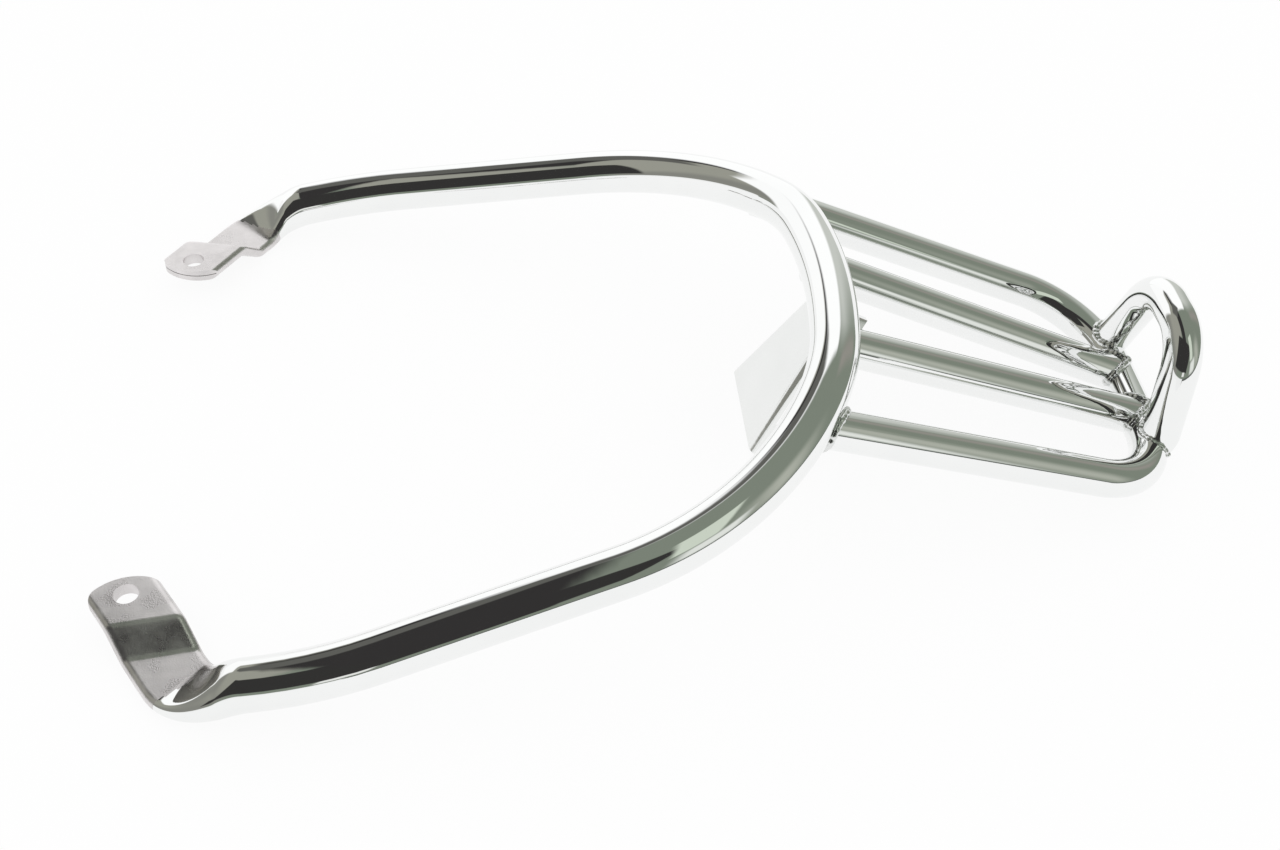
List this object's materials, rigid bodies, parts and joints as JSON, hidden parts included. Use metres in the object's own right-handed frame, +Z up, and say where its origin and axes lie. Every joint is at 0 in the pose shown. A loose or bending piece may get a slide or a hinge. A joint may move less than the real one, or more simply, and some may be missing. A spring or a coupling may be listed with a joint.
{
  "type": "motorcycle luggage rack",
  "caption": "Chromed tubular rear rack: a wide hoop round the seat with flattened bolt-on tabs, a narrower barred carrier falling away behind it and an upright bail at the end",
  "frame": {"origin": "below the middle of the rack's box, at the level of the surface that it lies on", "axes": "+X rearward along the machine, +Y to the machine's right and square to the rack's plane of symmetry, +Z up"},
  "size_m": [0.4984, 0.3422, 0.0981],
  "materials": {
    "chrome_tube": "mirror chrome plate on steel tube",
    "chrome_sheet": "chrome plate on folded steel sheet",
    "weld": "plated weld bead, lumpy"
  },
  "bodies": {
    "root": {"hoop": "chrome_tube", "carrier_loop": "chrome_tube", "left_bar": "chrome_tube", "right_bar": "chrome_tube", "bail": "chrome_tube", "rear_bracket": "chrome_sheet", "carrier_welds": "weld", "bar_welds": "weld", "bail_welds": "weld"}
  },
  "joints": []
}
